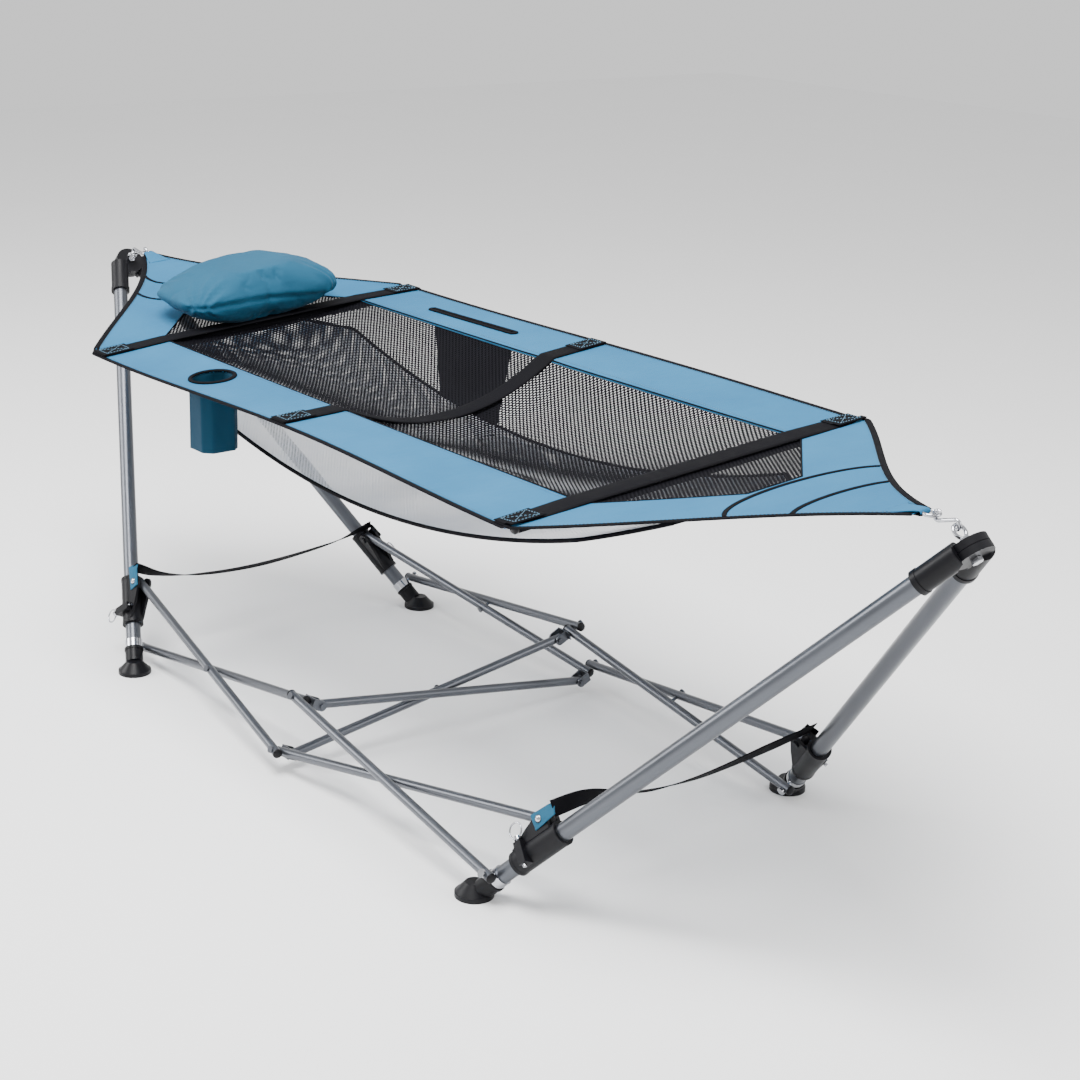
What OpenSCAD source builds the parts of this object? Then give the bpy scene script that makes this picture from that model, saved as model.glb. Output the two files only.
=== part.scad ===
// Folding stand with a hanging fabric bed, in millimetres.
// Origin: floor centre under the stand. +X foot end, -X head end, -Y near side, +Z up.

/* [Stand] */
// distance from the centre to a leg's floor point along X
foot_x = 536.6; // [530:0.1:545]
// distance from the centre to a leg's floor point along Y
foot_y = 322.6; // [318:0.1:328]
// lean of a leg within its side plane, degrees from the plane's slope line
leg_lean = 40.2; // [39.5:0.1:41]
// slope of the side planes, degrees from level
plane_tilt = 64.92; // [64:0.02:66]
// outside radius of a leg tube
leg_r = 14; // [13:0.5:15]
// outside radius of a brace tube
brace_r = 7.75; // [7:0.25:7.75]
// wall of the steel tubes
tube_wall = 1.5; // [1.2:0.1:2]

/* [Bed] */
// half width of the bed at its cross straps
bed_half = 328; // [310:1:340]
// depth of the sag across the mesh
mesh_sag = 60; // [40:1:80]
// sideways roll of the hanging bed, degrees
bed_roll = 4.45; // [3:0.05:5]
// height of the bed's middle line
bed_z = 626; // [615:1:640]
// pillow thickness
pillow_h = 78; // [60:1:90]

/* [Hidden] */
$fn = 48;
steel = [0.42, 0.45, 0.5];
black = [0.07, 0.07, 0.08];
chrome = [0.8, 0.8, 0.82];
blue = [0.4, 0.62, 0.76];
dark_mesh = [0.18, 0.19, 0.22];
white_net = [0.88, 0.9, 0.93];
run_gap = 0.05;
// lower brace pivot, slider pivot and slider pivot offset, along and across a leg
low_along = 57.3;
slide_along = 172.9;
slide_off = 31.7;
// height of the two middle pivots in the side plane
mid_top = 124.5;
mid_low = 30;
// layers of the braces, measured outward from the side plane
n_ring = 26.5;
n_in = 18;
n_out = 35;
low_x = foot_x + low_along * sin(leg_lean);
low_s = low_along * cos(leg_lean);
up_x = foot_x + slide_along * sin(leg_lean) - slide_off * cos(leg_lean);
up_s = slide_along * cos(leg_lean) + slide_off * sin(leg_lean);
slope_1 = (up_s - mid_low) / up_x;
slope_2 = (mid_top - low_s) / low_x;
cross_x = (mid_top - mid_low) / (slope_1 + slope_2);
cross_s = mid_low + slope_1 * cross_x;
// end planes: slope of the pair of legs that meet at a top joint
leg_len = foot_y / (cos(plane_tilt) * cos(leg_lean));
top_x = foot_x + leg_len * sin(leg_lean);
top_z = leg_len * cos(leg_lean) * sin(plane_tilt);
end_h = sqrt(pow(top_x - foot_x, 2) + pow(top_z, 2));
end_c = (top_x - foot_x) / end_h;
end_s = top_z / end_h;
pair_half = atan(foot_y / end_h);
bolt_drop = 61.5;
bolt_along = leg_len - bolt_drop * cos(pair_half);
bolt_off = bolt_drop * sin(pair_half);
bolt_x = top_x - bolt_drop * end_c;
bolt_z = top_z - bolt_drop * end_s;
ear_r = 28;
ear_t = 11;
tube_end = 907;
pivot_n = -10.3;
cross_off = 8.5;

// near side plane: X along the stand, Y up the slope, Z outward
module near_plane() {
  translate([0, -foot_y, 0]) rotate([plane_tilt, 0, 0]) children();
}

// far side plane is the near one turned half a turn
module side_plane(far) {
  rotate([0, 0, far * 180]) near_plane() children();
}

// leg frame: X inward, Y up the leg, Z outward; 0 = A, 1 = B, 2 = C, 3 = D
module corner(i) {
  side_plane(i > 1 ? 1 : 0)
    mirror([i % 2, 0, 0]) translate([-foot_x, 0, 0]) rotate([0, 0, leg_lean]) children();
}

// end plane frame: X sideways, Y up the slope, Z toward the middle of the stand
module end_plane(foot_end) {
  mirror([foot_end, 0, 0])
    multmatrix([[0, -end_c, end_s, -foot_x], [1, 0, 0, 0], [0, end_s, end_c, 0]]) children();
}

// leg frame lying in the end plane: X toward the partner leg, Y up the leg
module pair_leg(i) {
  end_plane(i == 1 || i == 2 ? 1 : 0)
    mirror([i > 1 ? 1 : 0, 0, 0]) translate([-foot_y, 0, 0]) rotate([0, 0, -pair_half]) children();
}

// round rod from p to q, run on by e0 and e1 past its ends
module rod(p, q, r, e0, e1) {
  d = q - p;
  l = norm(d);
  translate(p) rotate([0, acos(d[2] / l), atan2(d[1], d[0])])
    translate([0, 0, -e0]) cylinder(h = l + e0 + e1, r = r);
}

// cylinder along Y from y0 to y1
module bar_y(r, y0, y1) {
  translate([0, y0, 0]) rotate([-90, 0, 0]) cylinder(h = y1 - y0, r = r);
}

// cylinder along X from x0 to x1
module bar_x(r, x0, x1) {
  translate([x0, 0, 0]) rotate([0, 90, 0]) cylinder(h = x1 - x0, r = r);
}

module leg(i) {
  color(steel) corner(i) difference() {
    bar_y(leg_r, 28, tube_end);
    bar_y(leg_r - tube_wall, 27, tube_end + 1);
  }
}

module top_cap(i) {
  // ears of the near legs lie inward of the end plane, those of the far legs outward
  face = i < 2 ? 1 : -1;
  color(black) pair_leg(i) scale([1, 1, face]) difference() {
    union() {
      bar_y(17.5, 862, 931);
      bar_y(18.6, 862, 870);
      translate([bolt_off, bolt_along, 0.4]) cylinder(h = ear_t, r = ear_r);
      translate([0, 905, 0.4]) cube([bolt_off, 30, ear_t]);
    }
    bar_y(leg_r + run_gap, 860, tube_end + 0.3);
    translate([bolt_off, bolt_along, -40]) cylinder(h = 40.4, r = ear_r + 1);
    translate([bolt_off, bolt_along, ear_t + 0.4]) cylinder(h = 40, r = 13);
    translate([bolt_off, bolt_along, -1]) cylinder(h = ear_t + 3, r = 4 + run_gap);
  }
}

module foot(i) {
  color(black) {
    difference() {
      union() {
        at_floor(i) cylinder(h = 7, r = 30);
        at_floor(i) translate([0, 0, 6.9]) cylinder(h = 16, r1 = 29, r2 = 14);
        corner(i) bar_y(16.4, 20, 49);
        corner(i) bar_y(17.6, 44, 49);
      }
      corner(i) bar_y(leg_r + run_gap, 27.7, 60);
    }
  }
}

// floor point of a leg
module at_floor(i) {
  rotate([0, 0, i > 1 ? 180 : 0]) mirror([i % 2, 0, 0]) translate([-foot_x, -foot_y, 0]) children();
}

module pivot_ring(i) {
  // brace on the inner side at A and C, on the outer side at B and D
  face = i % 2 == 0 ? -1 : 1;
  color(chrome) corner(i) {
    difference() {
      bar_y(16, 49.6, 65);
      bar_y(leg_r + run_gap, 49, 66);
    }
    scale([1, 1, face]) translate([0, low_along, 0]) {
      translate([0, 0, 15]) cylinder(h = n_ring + brace_r - 13, r = 4);
      translate([0, 0, n_ring + brace_r + 1.2]) cylinder(h = 3.5, r = 7);
    }
  }
}

module slider(i) {
  color(black) corner(i) difference() {
    union() {
      bar_y(19, 98.8, 195.3);
      bar_y(19.6, 98.8, 104);
      bar_y(19.6, 190, 195.3);
      for (z = [-14, 10.5]) translate([0, 0, z]) {
        translate([slide_off, slide_along, 0]) cylinder(h = 5, r = 12);
        linear_extrude(height = 5)
          polygon([[12, 184], [slide_off, 184.9], [slide_off + 11, 168], [slide_off, 140], [15, 106], [12, 106]]);
      }
      // pivot bolt ends on the ears' outer faces
      translate([slide_off, slide_along, 15.4]) cylinder(h = 4, r = 6.5);
      translate([slide_off, slide_along, -17.9]) cylinder(h = 4, r = 6.5);
      // boss beside the tube for the hitch pin
      translate([-18, 120, 8]) cube([36, 14, 18]);
    }
    bar_y(leg_r + 0.35, 90, 200);
    translate([0, 127, 21]) bar_x(3 + run_gap, -30, 30);
    // slot for the brace end between the ears
    translate([20.6, 90, -9]) cube([60, 120, 19.5]);
  }
}

module hitch_pin(i) {
  // ring on the outer side at A, on the inner side elsewhere
  face = i == 0 ? -1 : 1;
  color(chrome) corner(i) translate([0, 127, 21]) scale([face, 1, 1]) {
    bar_x(3, -23, 26);
    bar_x(5.5, 20.5, 26);
    translate([36, 0, 0]) rotate_extrude() translate([12, 0]) circle(r = 1.3, $fn = 24);
  }
}

// brace in the side plane frame, hollow, between two pivots, with holes along Z
module brace_tube(p, q, e0, e1, holes) {
  difference() {
    rod(p, q, brace_r, e0, e1);
    rod(p, q, brace_r - tube_wall, e0 - 3, e1 - 3);
    for (h = holes) translate([h[0], h[1], h[2] - 12]) cylinder(h = 24, r = h[3]);
  }
}

// pin along Z through a tube, with a flat head at the top and a nut at the foot
module pin(x, s, z0, z1, r) {
  translate([x, s, z0]) cylinder(h = z1 - z0, r = r);
}

function mix_n(n0, n1, l0, l1) = n0 + (n1 - n0) * l0 / (l0 + l1);
k_low = norm([low_x - cross_x, low_s - cross_s]);
k_up = norm([up_x - cross_x, up_s - cross_s]);
k_mt = norm([cross_x, mid_top - cross_s]);
k_ml = norm([cross_x, mid_low - cross_s]);
kn_1 = mix_n(0, n_out, k_up, k_ml);
kn_2 = mix_n(-n_ring, n_in, k_low, k_mt);
kn_3 = mix_n(n_ring, n_out, k_low, k_mt);
kn_4 = mix_n(0, n_in, k_up, k_ml);

// slider A to low middle pivot, outer layer
module brace_upper_a(far) {
  color(steel) side_plane(far) {
    brace_tube([-up_x, up_s, 0], [0, mid_low, n_out], 7.5, 11,
      [[-cross_x, cross_s, kn_1, 3 + run_gap]]);
    pin(0, mid_low, n_out + brace_r - 1, n_out + brace_r + 3, 6);
  }
}

// lower pivot A to top middle pivot, inner layer
module brace_lower_a(far) {
  color(steel) side_plane(far) {
    brace_tube([-low_x, low_s, -n_ring], [0, mid_top, n_in], 11, 11,
      [[-low_x, low_s, -n_ring, 4 + run_gap]]);
    pin(-cross_x, cross_s, kn_2 + brace_r - 1, kn_1 + brace_r + 1, 3);
    pin(-cross_x, cross_s, kn_1 + brace_r + 0.5, kn_1 + brace_r + 3, 6);
    if (far == 0) pin(0, mid_top, n_in + brace_r - 1, n_out + brace_r + 1, 3);
    if (far == 0) pin(0, mid_top, n_out + brace_r + 0.5, n_out + brace_r + 3.5, 6);
    pin(0, mid_top, 7.1, n_in - brace_r + 1, 3);
  }
}

// top middle pivot to lower pivot B, outer layer
module brace_lower_b(far) {
  color(steel) side_plane(far) {
    brace_tube([0, mid_top, n_out], [low_x, low_s, n_ring], 11, 11,
      [[low_x, low_s, n_ring, 4 + run_gap], [0, mid_top, n_out, 3 + run_gap]]);
    if (far == 1) pin(0, mid_top, n_out - brace_r + 1, n_out + brace_r + 1, 3.2);
    if (far == 1) pin(0, mid_top, n_out + brace_r - 0.5, n_out + brace_r + 3.5, 6);
    pin(cross_x, cross_s, kn_4 - brace_r - 1, kn_3 - brace_r + 1, 3);
    pin(cross_x, cross_s, kn_4 - brace_r - 3, kn_4 - brace_r - 0.5, 6);
  }
}

// low middle pivot to slider B, inner layer
module brace_upper_b(far) {
  color(steel) side_plane(far) {
    brace_tube([0, mid_low, n_in], [up_x, up_s, 0], 11, 7.5,
      [[cross_x, cross_s, kn_4, 3 + run_gap]]);
    pin(0, mid_low, 7.1, n_in - brace_r + 1, 3);
  }
}

// bracket between a middle pivot and a cross tube; with its own bolt where the tube is hinged
module bracket(far, s, off, bolt) {
  color(steel) side_plane(far) translate([0, s, 0]) {
    difference() {
      translate([min(-9, off - 11.8), -9, 6.7]) cube([max(9, off + 11.8) - min(-9, off - 11.8), 18, 2.3]);
      cylinder(h = 20, r = 3 + run_gap);
    }
    for (m = [-1, 1]) translate([off + m * 10.3 - 1.5, 0, 0]) {
      translate([0, -9, pivot_n]) cube([3, 18, 7 - pivot_n]);
      translate([0, 0, pivot_n]) rotate([0, 90, 0]) cylinder(h = 3, r = 9);
      translate([m * 2.5, 0, pivot_n]) rotate([0, 90, 0]) cylinder(h = 3, r = 5);
    }
    if (bolt) translate([off - 9, 0, pivot_n]) rotate([0, 90, 0]) cylinder(h = 18, r = 3);
  }
}

// centre tube from a top pivot on one side to the low pivot on the other
module cross_tube(far, holes) {
  y0 = -foot_y + mid_top * cos(plane_tilt) - pivot_n * sin(plane_tilt);
  z0 = mid_top * sin(plane_tilt) + pivot_n * cos(plane_tilt);
  y1 = foot_y - mid_low * cos(plane_tilt) + pivot_n * sin(plane_tilt);
  z1 = mid_low * sin(plane_tilt) + pivot_n * cos(plane_tilt);
  zc = z0 + (z1 - z0) * y0 / (y0 - y1);
  color(steel) rotate([0, 0, far * 180]) difference() {
    union() {
      difference() {
        rod([cross_off, y0, z0], [cross_off, y1, z1], brace_r, 8, 8);
        rod([cross_off, y0, z0], [cross_off, y1, z1], brace_r - tube_wall, 5, 5);
      }
      if (far == 0) translate([0, 0, zc]) bar_x(3, -cross_off - brace_r - 1, cross_off - brace_r + 1);
      if (far == 0) translate([0, 0, zc]) bar_x(6, -cross_off - brace_r - 3, -cross_off - brace_r - 0.5);
    }
    if (far == 0) translate([cross_off, y0, z0]) bar_x(3 + run_gap, -12, 12);
    if (far == 1) translate([cross_off, 0, zc]) bar_x(3 + run_gap, -12, 12);
  }
}

module eye_bolt(e) {
  color(chrome) end_plane(e) translate([0, end_h - bolt_drop, 0]) {
    translate([0, 0, -ear_t - 4]) cylinder(h = 2 * ear_t + 12, r = 4);
    translate([0, 0, -ear_t - 7]) cylinder(h = 6, r = 8, $fn = 6);
    translate([0, 0, ear_t + 1]) cylinder(h = 6, r = 8, $fn = 6);
    translate([0, 0, 29]) rotate([90, 0, 0]) rotate_extrude() translate([10, 0]) circle(r = 2.6, $fn = 24);
  }
}

// hook from the eye (arc centre at the eye's rim) to the bed's ring at dx, dz from it
module s_hook(e, dx, dz, r) {
  a = atan2(dz, dx);
  l = norm([dx, dz]);
  t = asin(2 * r / l);
  color(chrome) mirror([e, 0, 0])
    translate([-bolt_x + 39 * end_s, 0, bolt_z + 39 * end_c]) rotate([90, 0, 0]) rotate([0, 0, a]) {
      rotate([0, 0, 90 - t]) rotate_extrude(angle = 225) translate([r, 0]) circle(r = 2.6, $fn = 24);
      translate([l, 0, 0]) rotate([0, 0, -90 - t]) rotate_extrude(angle = 225)
        translate([r, 0]) circle(r = 2.6, $fn = 24);
      rod([r * sin(t), r * cos(t), 0], [l - r * sin(t), -r * cos(t), 0], 2.8, 0.5, 0.5);
    }
}

// slack webbing between the two sliders of one end
module end_strap(e) {
  sag = 42;
  half = 226;
  r = (half * half + sag * sag) / (2 * sag);
  color(black) mirror([e, 0, 0]) translate([-652, 0, 137 - sag + r]) rotate([0, 90, 0])
    intersection() {
      difference() {
        cylinder(h = 25, r = r + 1, $fn = 180);
        translate([0, 0, -1]) cylinder(h = 27, r = r - 1, $fn = 180);
      }
      translate([0, -half, -1]) cube([r + 10, 2 * half, 27]);
    }
}

// bed frame: rolled about X at the bed's height
module bed() {
  translate([0, 0, bed_z]) rotate([bed_roll, 0, 0]) children();
}

module bed_ring(e, x, z) {
  color(chrome) mirror([e, 0, 0]) translate([-x + 11, 0, z]) rotate_extrude()
    translate([11, 0]) circle(r = 2.6, $fn = 24);
}

module bed_panel(e, start, tip, tip_z) {
  run = tip - start;
  color(blue) mirror([e, 0, 0]) bed() translate([-start, 0, 0]) rotate([0, atan2(tip_z, run), 0])
    linear_extrude(height = 3, center = true)
      polygon([[0, -bed_half - 20], [0, bed_half + 20], [-run, 14], [-run, -14]]);
}

module bed_border(far) {
  color(blue) bed() mirror([0, far, 0]) difference() {
    translate([-568, -bed_half, -1.5]) cube([1164, bed_half - 213, 3]);
    if (far == 0) translate([-310, -270, -5]) cylinder(h = 10, r = 43);
    if (far == 1) translate([-420, -272, -5]) cube([262, 14, 10]);
  }
}

mesh_half = 212;
mesh_r = (mesh_half * mesh_half + mesh_sag * mesh_sag) / (2 * mesh_sag);

// sagging sheet between the borders, inner and outer radius, from x0 to x1
module sag_sheet(ri, ro, x0, x1) {
  bed() translate([x0, 0, mesh_r - mesh_sag]) rotate([0, 90, 0]) intersection() {
    difference() {
      cylinder(h = x1 - x0, r = ro, $fn = 180);
      translate([0, 0, -1]) cylinder(h = x1 - x0 + 2, r = ri, $fn = 180);
    }
    translate([0, -mesh_half, -1]) cube([mesh_r + 20, 2 * mesh_half, x1 - x0 + 2]);
  }
}

module bed_mesh() {
  color(dark_mesh) sag_sheet(mesh_r - 1, mesh_r + 1, -568, 596);
}

module bed_strap_end(x) {
  color(black) bed() translate([x - 16, -bed_half - 20, -1.25]) cube([32, 2 * bed_half + 40, 2.5]);
}

module bed_strap_middle() {
  color(black) {
    sag_sheet(mesh_r - 4.5, mesh_r - 2, -12, 18);
    bed() for (m = [0, 1]) mirror([0, m, 0]) translate([-12, -bed_half, 2.5]) cube([30, bed_half - 210, 2.5]);
  }
}

module spreader(x) {
  color(steel) bed() translate([x, 0, -11]) difference() {
    bar_y(8, -bed_half, bed_half);
    bar_y(8 - tube_wall, -bed_half + 3, bed_half - 3);
  }
}

module pillow() {
  r = (125 * 125 + pillow_h * pillow_h) / (2 * pillow_h);
  color(blue) bed() translate([-645, 0, 14]) rotate([0, 4.6, 0]) intersection() {
    translate([-125, -222, 0]) cube([250, 444, pillow_h + 1]);
    translate([0, 0, pillow_h - r]) rotate([90, 0, 0]) cylinder(h = 460, r = r, center = true, $fn = 180);
  }
}

module cup_holder() {
  color(blue) translate([-310, -269, 0]) {
    difference() {
      union() {
        translate([-40, -40, 468]) cube([80, 80, 118]);
        translate([0, 0, 580]) cylinder(h = 22, r = 42.5);
      }
      translate([-38, -38, 470]) cube([76, 76, 114]);
      translate([0, 0, 580]) cylinder(h = 30, r = 40.5);
      for (a = [45, 135, 225, 315]) rotate([0, 0, a]) translate([45, -30, 460]) cube([30, 60, 120]);
    }
  }
  color(black) bed() translate([-310, -270, 4.5]) rotate_extrude() translate([44, 0]) circle(r = 2.5, $fn = 24);
}

module pocket() {
  color(black) translate([-418, 262, 445]) difference() {
    cube([258, 10, 198]);
    translate([1.5, 1.5, 2]) cube([255, 7, 200]);
  }
}

module storage_net() {
  r = 1750;
  color(white_net) bed() translate([70, 0, r - 128]) rotate([90, 0, 0]) intersection() {
    translate([0, 0, -222]) difference() {
      cylinder(h = 444, r = r + 1, $fn = 360);
      translate([0, 0, -1]) cylinder(h = 446, r = r - 1, $fn = 360);
    }
    translate([-460, -r - 10, -230]) cube([920, 160, 460]);
  }
}

leg(0);  // leg_a
leg(1);  // leg_b
leg(2);  // leg_c
leg(3);  // leg_d
top_cap(0);  // top_cap_a
top_cap(1);  // top_cap_b
top_cap(2);  // top_cap_c
top_cap(3);  // top_cap_d
foot(0);  // foot_a
foot(1);  // foot_b
foot(2);  // foot_c
foot(3);  // foot_d
pivot_ring(0);  // pivot_ring_a
pivot_ring(1);  // pivot_ring_b
pivot_ring(2);  // pivot_ring_c
pivot_ring(3);  // pivot_ring_d
slider(0);  // slider_a
slider(1);  // slider_b
slider(2);  // slider_c
slider(3);  // slider_d
hitch_pin(0);  // hitch_pin_a
hitch_pin(1);  // hitch_pin_b
hitch_pin(2);  // hitch_pin_c
hitch_pin(3);  // hitch_pin_d
brace_upper_a(0);  // brace_1
brace_lower_a(0);  // brace_2
brace_lower_b(0);  // brace_3
brace_upper_b(0);  // brace_4
brace_upper_a(1);  // brace_5
brace_lower_a(1);  // brace_6
brace_lower_b(1);  // brace_7
brace_upper_b(1);  // brace_8
bracket(0, mid_top, cross_off, true);  // bracket_1
bracket(0, mid_low, -cross_off, false);  // bracket_2
bracket(1, mid_top, cross_off, false);  // bracket_3
bracket(1, mid_low, -cross_off, false);  // bracket_4
cross_tube(0);  // cross_tube_1
cross_tube(1);  // cross_tube_2
eye_bolt(0);  // eye_bolt_head
eye_bolt(1);  // eye_bolt_foot
s_hook(0, 47.5, 8, 7.5);  // s_hook_head
s_hook(1, 30, 4.5, 6.4);  // s_hook_foot
end_strap(0);  // end_strap_head
end_strap(1);  // end_strap_foot
bed_ring(0, 1061.9, 679);  // bed_ring_head
bed_ring(1, 1079.4, 675.5);  // bed_ring_foot
bed_panel(0, 604, 1034, 50);  // bed_panel_head
bed_panel(1, 631, 1052, 48);  // bed_panel_foot
bed_border(0);  // bed_border_near
bed_border(1);  // bed_border_far
bed_mesh();
bed_strap_end(-585.6);  // bed_strap_head
bed_strap_middle();
bed_strap_end(613);  // bed_strap_foot
spreader(-585.6);  // spreader_head
spreader(613);  // spreader_foot
pillow();
cup_holder();
pocket();
storage_net();
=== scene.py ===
# %% [markdown]
# A hammock on a folding stand. The steel stand, its plastic fittings and its chrome hooks are already
# made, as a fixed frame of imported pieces. This file gives every one of those pieces its finish, and makes
# the cloth parts that hang from them: a bed of blue canvas and dark mesh, a pillow, a cup holder, a
# pocket and a storage net.

# %% Load the frame
import math
import bpy
import numpy as np
from mathutils import Matrix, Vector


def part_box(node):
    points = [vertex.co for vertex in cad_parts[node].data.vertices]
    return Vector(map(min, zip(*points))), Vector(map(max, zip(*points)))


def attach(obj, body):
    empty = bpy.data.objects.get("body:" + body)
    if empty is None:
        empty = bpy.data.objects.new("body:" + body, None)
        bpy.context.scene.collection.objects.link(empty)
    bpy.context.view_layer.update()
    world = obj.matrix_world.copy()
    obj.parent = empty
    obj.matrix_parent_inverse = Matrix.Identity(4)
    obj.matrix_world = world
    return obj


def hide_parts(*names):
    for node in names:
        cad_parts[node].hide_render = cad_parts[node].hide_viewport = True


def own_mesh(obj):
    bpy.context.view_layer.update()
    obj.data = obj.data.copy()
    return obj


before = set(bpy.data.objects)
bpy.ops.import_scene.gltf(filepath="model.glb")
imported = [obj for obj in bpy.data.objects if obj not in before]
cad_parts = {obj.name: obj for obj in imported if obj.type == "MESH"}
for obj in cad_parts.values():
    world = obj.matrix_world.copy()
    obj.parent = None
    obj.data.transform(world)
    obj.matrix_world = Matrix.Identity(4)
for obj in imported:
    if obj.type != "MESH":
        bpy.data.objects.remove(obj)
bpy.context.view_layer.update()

# %% [markdown]
# The camera stands off the foot end, to the near side and a little above the bed, with a lens of about 69
# mm. Its place and turn come from three angles: the way it faces round the stand, how far it looks down,
# and a slight roll.

# %% Camera
AZ, EL, ROLL = -0.9006, 0.3155, 0.0263
eye = np.array([2.7329, -1.9569, 1.4483])
look = np.array([math.sin(AZ) * math.cos(EL), math.cos(AZ) * math.cos(EL), -math.sin(EL)])
side = np.cross(look, [0, 0, 1])
side /= np.linalg.norm(side)
over = np.cross(side, look)
right = side * math.cos(ROLL) + over * math.sin(ROLL)
above = -side * math.sin(ROLL) + over * math.cos(ROLL)
camera = bpy.data.objects.new("camera", bpy.data.cameras.new("camera"))
bpy.context.scene.collection.objects.link(camera)
camera.data.sensor_width = 36.0
camera.data.lens = 36.0 * 2061.0 / 1080.0
camera.data.clip_end = 60.0
axes = np.array([right, above, -look]).T
camera.matrix_world = Matrix([list(c) + [p] for c, p in zip(axes, eye)] + [[0, 0, 0, 1]])
bpy.context.scene.camera = camera
print("lens", round(camera.data.lens, 1), "mm")

# %% [markdown]
# Every new piece is a surface worked out as whole arrays. A grid of points, one row for each step along
# and one column for each step across, becomes quads in one go. Leaving faces out of the grid cuts holes
# in it, and a Solidify modifier gives cloth its thickness, which closes its rims.

# %% Surfaces from grids
def link(name, mesh):
    """Puts a mesh in the scene as an object at the origin."""
    obj = bpy.data.objects.new(name, mesh)
    bpy.context.scene.collection.objects.link(obj)
    return obj


def surface(name, p, wrap_u=False, wrap_v=False, keep=None, flip=False, ends=False):
    """A mesh from points p[u, v]: each face joins four neighbours. wrap joins the last row or column to the
    first, keep is True for the faces that stay, and ends closes the first and last rows with one face
    each."""
    nu, nv = p.shape[:2]
    grid = np.arange(nu * nv).reshape(nu, nv)
    a = grid if wrap_u else grid[:-1]
    b = np.roll(grid, -1, 0) if wrap_u else grid[1:]
    if wrap_v:
        quads = np.stack([a, b, np.roll(b, -1, 1), np.roll(a, -1, 1)], -1)
    else:
        quads = np.stack([a[:, :-1], b[:, :-1], b[:, 1:], a[:, 1:]], -1)
    if keep is not None:
        quads = quads[keep]
    quads = quads.reshape(-1, 4)
    if flip:
        quads = quads[:, ::-1]
    faces = quads.tolist()
    if ends:
        first, last = grid[0].tolist(), grid[-1].tolist()
        faces += [first, last[::-1]] if not flip else [first[::-1], last]
    used, where = np.unique(np.concatenate([np.array(f) for f in faces]) if ends else quads,
                            return_inverse=True)
    if not ends:
        faces = where.reshape(-1, 4).tolist()
    else:
        used = np.arange(nu * nv)
    mesh = bpy.data.meshes.new(name)
    mesh.from_pydata(p.reshape(-1, 3)[used].tolist(), [], faces)
    mesh.validate()
    mesh.polygons.foreach_set("use_smooth", np.ones(len(mesh.polygons), bool))
    mesh.update()
    return link(name, mesh)


def unit(v):
    """Vectors scaled to length 1."""
    return v / np.maximum(np.linalg.norm(v, axis=-1, keepdims=True), 1e-12)


def cloth(name, p, thick=0.0012, keep=None, flip=False):
    """A sheet of the grid p, with its thickness shared by both sides of the grid."""
    obj = surface(name, p, keep=keep, flip=flip)
    m = obj.modifiers.new("thickness", "SOLIDIFY")
    m.thickness, m.offset = thick, 0.0
    return obj


def tube(name, path, r, sides=12, closed=False, up=(0.0, 0.0, 1.0), r2=None):
    """A round bar along a path: at each point a circle of radius r stands square to the path."""
    path = np.asarray(path, float)
    step = np.roll(path, -1, 0) - np.roll(path, 1, 0) if closed else np.gradient(path, axis=0)
    t = unit(step)
    n = unit(np.cross(np.broadcast_to(np.asarray(up, float), t.shape), t))
    b = np.cross(t, n)
    a = np.linspace(0, 2 * np.pi, sides, endpoint=False)
    ring = n[:, None] * np.cos(a)[None, :, None] * np.reshape(r, (-1, 1, 1))
    ring = ring + b[:, None] * np.sin(a)[None, :, None] * np.reshape(r if r2 is None else r2, (-1, 1, 1))
    return surface(name, path[:, None] + ring, wrap_u=closed, wrap_v=True, ends=not closed, flip=True)


def smooth_path(points, n=60):
    """A path through the points, with rounded turns (Catmull-Rom: each stretch is a cubic that leaves along
    its neighbours)."""
    q = np.asarray(points, float)
    q = np.vstack([2 * q[0] - q[1], q, 2 * q[-1] - q[-2]])
    s = np.linspace(0, len(q) - 3 - 1e-9, n)
    i = s.astype(int)
    f = (s - i)[:, None]
    a, b, c, d = q[i], q[i + 1], q[i + 2], q[i + 3]
    return 0.5 * (2 * b + (c - a) * f + (2 * a - 5 * b + 4 * c - d) * f ** 2
                  + (3 * b - a - 3 * c + d) * f ** 3)


def turned(name, centre, axis, profile, sides=40):
    """A shape turned about an axis: profile is radius and height pairs, carried round the axis."""
    w = unit(np.asarray(axis, float))
    u = unit(np.cross(w, [0.31, 0.74, 0.59]))
    v = np.cross(w, u)
    pr = np.asarray(profile, float)
    a = np.linspace(0, 2 * np.pi, sides, endpoint=False)
    ring = u * np.cos(a)[:, None] + v * np.sin(a)[:, None]
    p = np.asarray(centre, float) + pr[:, None, :1] * ring[None] + pr[:, None, 1:] * w
    return surface(name, p, wrap_v=True, ends=True)


print("surface helpers ready")

# %% [markdown]
# A finish is a small shader network. Writing it as node links alone is hard to read, so one class stands
# for a socket and turns Python's + - * / into Math nodes, and one method makes any other node from its
# settings and its inputs.

# %% Shader toolkit
class Wire:
    """A shader socket that can be used in sums. Numbers on either side of the sign are set on the Math
    node."""

    def __init__(self, mat, socket):
        self.mat, self.socket = mat, socket

    def maths(self, op, a, b=None):
        given = {k: v for k, v in zip("01", (a, b)) if v is not None}
        return self.mat.node("Math", dict(operation=op), **given)

    def __add__(self, o): return self.maths("ADD", self, o)
    def __sub__(self, o): return self.maths("SUBTRACT", self, o)
    def __rsub__(self, o): return self.maths("SUBTRACT", o, self)
    def __mul__(self, o): return self.maths("MULTIPLY", self, o)
    def sin(self): return self.maths("SINE", self)
    def fract(self): return self.maths("FRACT", self)
    def floor(self): return self.maths("FLOOR", self)
    def mod2(self): return self.maths("FLOORED_MODULO", self, 2.0)
    def less(self, o): return self.maths("LESS_THAN", self, o)


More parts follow.
